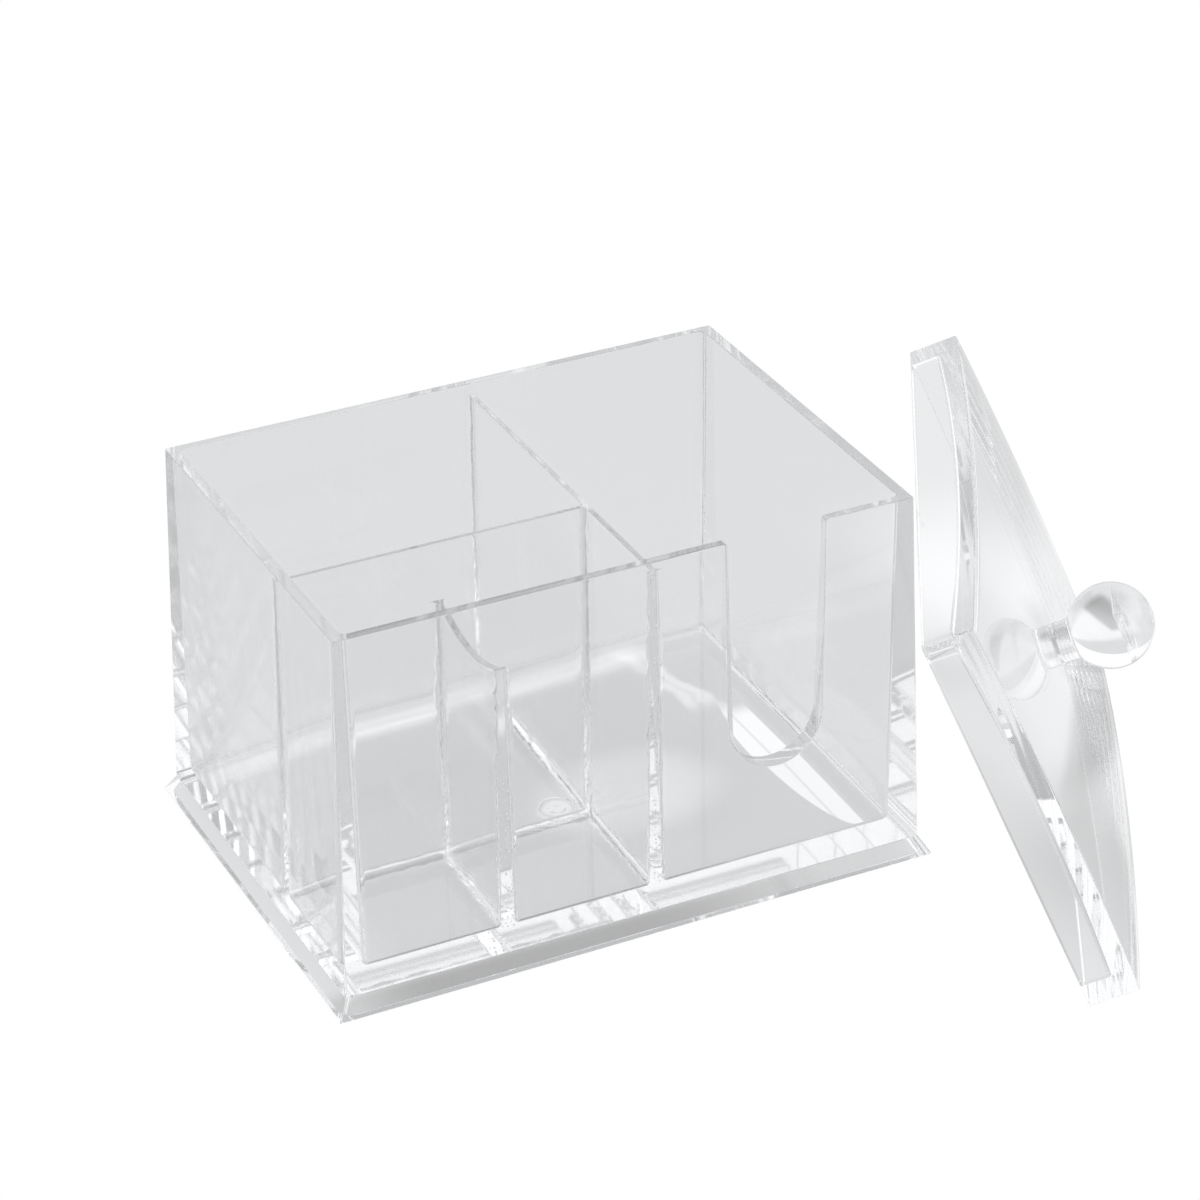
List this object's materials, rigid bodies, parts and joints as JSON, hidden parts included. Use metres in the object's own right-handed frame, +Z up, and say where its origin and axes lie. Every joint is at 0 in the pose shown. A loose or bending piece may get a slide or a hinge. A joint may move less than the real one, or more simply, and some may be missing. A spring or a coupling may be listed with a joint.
{
  "type": "cotton pad holder",
  "caption": "Clear open box on a bevelled plinth, divided into bays for cotton pads and swabs, with a finger slot and a domed lift-off lid with a ball knob.",
  "frame": {"origin": "on the table, under the middle of the box's plinth", "axes": "+X along the box towards the pad bay, +Y to the back, +Z up; the slotted wall faces -Y"},
  "size_m": [0.2427, 0.1958, 0.1032],
  "materials": {
    "box_acrylic": "clear, polished, water-white",
    "divider_acrylic": "clear, polished, with fine bubbles along the glued feet",
    "lid_acrylic": "clear, polished, water-white",
    "knob_acrylic": "clear, polished ball"
  },
  "bodies": {
    "box": {"base_plate": "box_acrylic", "box_shell": "box_acrylic", "long_divider": "divider_acrylic", "cross_divider": "divider_acrylic", "short_divider": "divider_acrylic"},
    "lid": {"lid": "lid_acrylic", "knob": "knob_acrylic"}
  },
  "joints": [
    {"name": "lid_lift", "type": "slide", "parent": "box", "child": "lid", "axis": [0, 0, 1], "range_m": [0, 0.12]}
  ]
}
